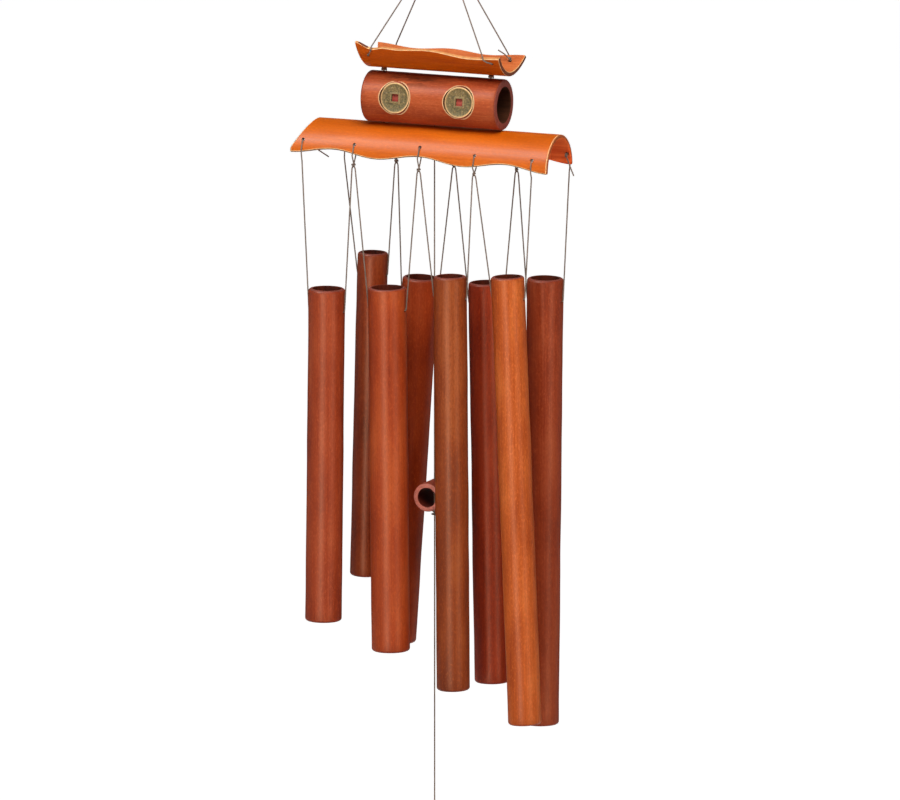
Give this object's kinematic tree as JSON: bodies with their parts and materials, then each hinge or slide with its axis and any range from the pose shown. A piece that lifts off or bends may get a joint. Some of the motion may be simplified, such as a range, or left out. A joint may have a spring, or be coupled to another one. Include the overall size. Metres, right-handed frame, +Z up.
{
  "type": "bamboo wind chime",
  "caption": "Hanging bamboo wind chime: split-bamboo roofs, a coin-set barrel, tubes of rising length on cord slings, a clapper and a wind catcher.",
  "frame": {"origin": "centre of the hanging ring", "axes": "+Z up along the hanging cord, X along the roofs, -Y is the front with the coins"},
  "size_m": [0.209, 0.0772, 0.7644],
  "materials": {
    "roof_bamboo": "orange lacquer, satin",
    "barrel_bamboo": "red-brown lacquer, satin",
    "tube_red_brown": "red-brown lacquer, satin",
    "tube_dark_brown": "dark brown lacquer, satin",
    "tube_red_orange": "red-orange lacquer, satin",
    "tube_dark_red": "dark red lacquer, satin",
    "tube_brown_orange": "brown-orange lacquer, satin",
    "tube_orange": "orange lacquer, satin",
    "coin_brass": "aged",
    "cord": "waxed twine",
    "ring_steel": "satin"
  },
  "bodies": {
    "ring": {"hanging_ring": "ring_steel"},
    "hanger_loop": {"hanger_loop": "cord"},
    "canopy": {"gather_knot": "cord", "hanger_cord_front_left": "cord", "hanger_cord_front_right": "cord", "hanger_cord_back_left": "cord", "hanger_cord_back_right": "cord", "upper_roof": "roof_bamboo", "upper_roof_knots": "cord", "barrel": "barrel_bamboo", "coin_left": "coin_brass", "coin_right": "coin_brass", "tie_cord_left": "cord", "tie_cord_right": "cord", "lower_roof": "roof_bamboo", "front_edge_cords": "cord", "front_edge_knots": "cord", "back_edge_cords": "cord", "back_edge_knots": "cord", "centre_tie": "cord"},
    "centre_loop": {"centre_loop": "cord"},
    "clapper_cord": {"clapper_cord": "cord", "clapper_knot": "cord"},
    "clapper": {"clapper": "tube_red_brown"},
    "catcher_loop": {"catcher_loop": "cord"},
    "catcher_cord": {"catcher_cord": "cord", "catcher_knot": "cord"},
    "wind_catcher": {"wind_catcher": "roof_bamboo", "catcher_sling": "cord"},
    "sling_1": {"tube_sling_1": "cord"},
    "tube_1": {"chime_tube_1": "tube_red_brown"},
    "sling_2": {"tube_sling_2": "cord"},
    "tube_2": {"chime_tube_2": "tube_dark_brown"},
    "sling_3": {"tube_sling_3": "cord"},
    "tube_3": {"chime_tube_3": "tube_red_orange"},
    "sling_4": {"tube_sling_4": "cord"},
    "tube_4": {"chime_tube_4": "tube_dark_red"},
    "sling_5": {"tube_sling_5": "cord"},
    "tube_5": {"chime_tube_5": "tube_brown_orange"},
    "sling_6": {"tube_sling_6": "cord"},
    "tube_6": {"chime_tube_6": "tube_dark_red"},
    "sling_7": {"tube_sling_7": "cord"},
    "tube_7": {"chime_tube_7": "tube_orange"},
    "sling_8": {"tube_sling_8": "cord"},
    "tube_8": {"chime_tube_8": "tube_red_brown"}
  },
  "joints": [
    {"name": "ring_slide", "type": "hinge", "parent": "ring", "child": "hanger_loop", "pos_m": [0, 0, 0], "axis": [0, 1, 0], "range_deg": [-15, 15]},
    {"name": "canopy_swing", "type": "hinge", "parent": "hanger_loop", "child": "canopy", "pos_m": [0, 0, -0.011], "axis": [1, 0, 0], "range_deg": [-15, 15]},
    {"name": "tube_1_swing", "type": "hinge", "parent": "canopy", "child": "sling_1", "pos_m": [-0.0833, -0.0245, -0.191], "axis": [1, 0, 0], "range_deg": [-25, 3]},
    {"name": "tube_1_rock", "type": "hinge", "parent": "sling_1", "child": "tube_1", "pos_m": [-0.08351, -0.0245, -0.3035], "axis": [0.9999, 0, -0.0122], "range_deg": [-14, 3]},
    {"name": "tube_2_swing", "type": "hinge", "parent": "canopy", "child": "sling_2", "pos_m": [-0.06675, 0.0245, -0.195], "axis": [1, 0, 0], "range_deg": [-3, 25]},
    {"name": "tube_2_rock", "type": "hinge", "parent": "sling_2", "child": "tube_2", "pos_m": [-0.0672, 0.0245, -0.28249], "axis": [0.9997, 0, -0.0262], "range_deg": [-3, 14]},
    {"name": "tube_3_swing", "type": "hinge", "parent": "canopy", "child": "sling_3", "pos_m": [-0.0342, -0.0245, -0.191], "axis": [1, 0, 0], "range_deg": [-25, 3]},
    {"name": "tube_3_rock", "type": "hinge", "parent": "sling_3", "child": "tube_3", "pos_m": [-0.03402, -0.0245, -0.299], "axis": [0.9999, 0, 0.0105], "range_deg": [-14, 3]},
    {"name": "tube_4_swing", "type": "hinge", "parent": "canopy", "child": "sling_4", "pos_m": [-0.0275, 0.0245, -0.195], "axis": [1, 0, 0], "range_deg": [-3, 25]},
    {"name": "tube_4_rock", "type": "hinge", "parent": "sling_4", "child": "tube_4", "pos_m": [-0.02866, 0.0245, -0.29896], "axis": [0.9977, 0, -0.068], "range_deg": [-3, 14]},
    {"name": "tube_5_swing", "type": "hinge", "parent": "canopy", "child": "sling_5", "pos_m": [0.017, -0.0245, -0.191], "axis": [1, 0, 0], "range_deg": [-25, 3]},
    {"name": "tube_5_rock", "type": "hinge", "parent": "sling_5", "child": "tube_5", "pos_m": [0.01715, -0.0245, -0.287], "axis": [1, 0, 0.0087], "range_deg": [-14, 3]},
    {"name": "tube_6_swing", "type": "hinge", "parent": "canopy", "child": "sling_6", "pos_m": [0.0254, 0.0245, -0.195], "axis": [1, 0, 0], "range_deg": [-3, 25]},
    {"name": "tube_6_rock", "type": "hinge", "parent": "sling_6", "child": "tube_6", "pos_m": [0.0257, 0.0245, -0.299], "axis": [0.9998, 0, 0.0175], "range_deg": [-3, 14]},
    {"name": "tube_7_swing", "type": "hinge", "parent": "canopy", "child": "sling_7", "pos_m": [0.06375, -0.0245, -0.191], "axis": [1, 0, 0], "range_deg": [-25, 3]},
    {"name": "tube_7_rock", "type": "hinge", "parent": "sling_7", "child": "tube_7", "pos_m": [0.06446, -0.0245, -0.28398], "axis": [0.9991, 0, 0.0419], "range_deg": [-14, 3]},
    {"name": "tube_8_swing", "type": "hinge", "parent": "canopy", "child": "sling_8", "pos_m": [0.07375, 0.0245, -0.195], "axis": [1, 0, 0], "range_deg": [-3, 25]},
    {"name": "tube_8_rock", "type": "hinge", "parent": "sling_8", "child": "tube_8", "pos_m": [0.07357, 0.0245, -0.2925], "axis": [0.9999, 0, -0.0105], "range_deg": [-3, 14]},
    {"name": "centre_sway", "type": "hinge", "parent": "canopy", "child": "centre_loop", "pos_m": [-0.006, 0, -0.16675], "axis": [0, 1, 0], "range_deg": [-0.8, 0.8]},
    {"name": "centre_swing", "type": "hinge", "parent": "centre_loop", "child": "clapper_cord", "pos_m": [-0.006, 0, -0.16675], "axis": [1, 0, 0], "range_deg": [-8, 8]},
    {"name": "clapper_spin", "type": "hinge", "parent": "clapper_cord", "child": "clapper", "pos_m": [-0.006, 0, -0.442], "axis": [0, 0, 1], "continuous": true},
    {"name": "catcher_sway", "type": "hinge", "parent": "clapper_cord", "child": "catcher_loop", "pos_m": [-0.006, 0, -0.4552], "axis": [0, 1, 0], "range_deg": [-1, 1]},
    {"name": "catcher_swing", "type": "hinge", "parent": "catcher_loop", "child": "catcher_cord", "pos_m": [-0.006, 0, -0.4552], "axis": [1, 0, 0], "range_deg": [-20, 20]},
    {"name": "catcher_spin", "type": "hinge", "parent": "catcher_cord", "child": "wind_catcher", "pos_m": [-0.006, 0, -0.681], "axis": [0, 0, 1], "continuous": true}
  ]
}
